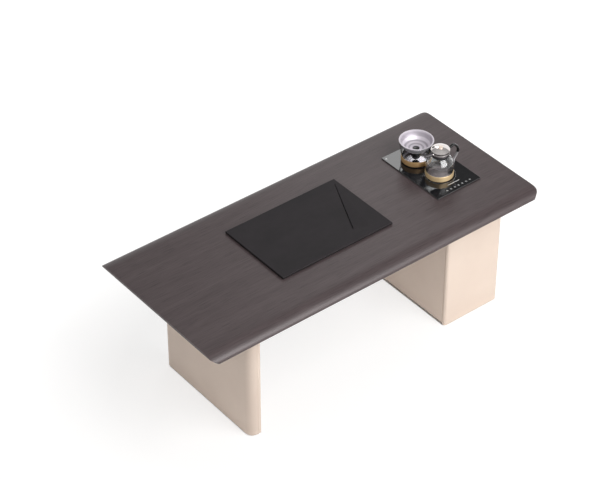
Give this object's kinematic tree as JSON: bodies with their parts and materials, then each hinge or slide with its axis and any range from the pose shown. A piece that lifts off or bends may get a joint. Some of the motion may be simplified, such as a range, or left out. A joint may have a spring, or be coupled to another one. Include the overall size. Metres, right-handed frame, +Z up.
{
  "type": "gongfu tea table",
  "caption": "Long dark wooden tea table on two pale pedestals, with a built-in glass-top stove, kettle, steriliser pot and slate tea tray.",
  "frame": {"origin": "on the floor under the middle of the table top", "axes": "+X along the table towards the stove and cabinet, +Y towards the back, +Z up"},
  "size_m": [2.1, 0.93, 0.9395],
  "materials": {
    "smoked_wood": "satin smoked oak, fine grain",
    "pale_panel": "smooth matt warm beige",
    "carcass_board": "plain board",
    "beech": "raw",
    "zinc_steel": "zinc plated",
    "brass_insert": "plain",
    "nylon_black": "matt",
    "nylon_white": "matt",
    "black_glass": "polished black glass ceramic",
    "tub_sheet": "matt black",
    "copper": "enamelled copper litz",
    "former_plastic": "matt",
    "mica": "matt",
    "circuit_board": "matt",
    "aluminium_fin": "mill",
    "fan_plastic": "matt",
    "clear_glass": "clear borosilicate",
    "gold_steel": "polished gold",
    "chrome_steel": "polished",
    "black_rubber": "matt",
    "black_bakelite": "semi gloss",
    "slate": "honed black slate"
  },
  "bodies": {
    "table": {"table_top": "smoked_wood", "stiffener_channels": "zinc_steel", "stiffener_screws": "zinc_steel", "fixing_bolts": "zinc_steel", "shelf_pins": "zinc_steel", "door_pivot_plates": "zinc_steel", "stove_clamps": "zinc_steel", "insert_nuts": "brass_insert", "left_leg_shell": "pale_panel", "left_leg_inner_panel": "pale_panel", "cabinet_shell": "pale_panel", "left_leg_top_board": "carcass_board", "left_leg_base_board": "carcass_board", "cabinet_top_board": "carcass_board", "cabinet_base_board": "carcass_board", "cabinet_shelf": "carcass_board", "left_leg_dowels": "beech", "cabinet_dowels": "beech", "left_leg_glides": "nylon_black", "cabinet_glides": "nylon_black", "cable_grommet": "nylon_black", "latch_housing": "nylon_black", "power_inlet": "nylon_black", "door_pivot_bushes": "nylon_white", "stove_glass": "black_glass", "stove_gasket": "black_rubber", "stove_case": "tub_sheet", "front_coil": "copper", "back_coil": "copper", "coil_formers": "former_plastic", "tub_posts": "former_plastic", "mica_discs": "mica", "power_board": "circuit_board", "touch_board": "circuit_board", "heat_sink": "aluminium_fin", "fan_frame": "fan_plastic"},
    "cabinet_door": {"cabinet_door": "pale_panel", "door_pivot_pins": "zinc_steel", "latch_strike": "zinc_steel"},
    "latch_plunger": {"latch_plunger": "nylon_white"},
    "fan_rotor": {"fan_rotor": "fan_plastic"},
    "kettle": {"kettle_base_pan": "chrome_steel", "kettle_base_seal": "black_rubber", "kettle_band": "gold_steel", "kettle_glass": "clear_glass", "kettle_neck_ring": "black_rubber", "kettle_collar": "chrome_steel", "kettle_handle": "black_bakelite", "kettle_handle_clip": "chrome_steel"},
    "kettle_lid": {"kettle_lid": "chrome_steel", "kettle_lid_knob": "gold_steel"},
    "pot": {"pot_base_pan": "chrome_steel", "pot_base_seal": "black_rubber", "pot_band": "gold_steel", "pot_glass": "clear_glass"},
    "pot_lid": {"pot_lid": "chrome_steel", "pot_lid_knob": "black_bakelite", "pot_lid_washer": "black_bakelite"},
    "tea_tray": {"tea_tray": "slate", "tray_pads": "black_rubber"}
  },
  "joints": [
    {"name": "door_hinge", "type": "hinge", "parent": "table", "child": "cabinet_door", "pos_m": [0.563, 0.2955, 0.35], "axis": [0, 0, -1], "range_deg": [0, 95]},
    {"name": "latch_push", "type": "slide", "parent": "table", "child": "latch_plunger", "axis": [1, 0, 0], "range_m": [0, 0.003], "stiffness_N_per_m": 400},
    {"name": "fan_spin", "type": "hinge", "parent": "table", "child": "fan_rotor", "pos_m": [0.73, -0.0465, 0.688], "axis": [0, 0, 1], "continuous": true},
    {"name": "kettle_lift", "type": "slide", "parent": "table", "child": "kettle", "axis": [0, 0, 1], "range_m": [0, 0.25]},
    {"name": "kettle_lid_lift", "type": "slide", "parent": "kettle", "child": "kettle_lid", "axis": [0, 0, 1], "range_m": [0, 0.1]},
    {"name": "pot_lift", "type": "slide", "parent": "table", "child": "pot", "axis": [0, 0, 1], "range_m": [0, 0.25]},
    {"name": "pot_lid_lift", "type": "slide", "parent": "pot", "child": "pot_lid", "axis": [0, 0, 1], "range_m": [0, 0.15]},
    {"name": "tray_lift", "type": "slide", "parent": "table", "child": "tea_tray", "axis": [0, 0, 1], "range_m": [0, 0.1]}
  ]
}
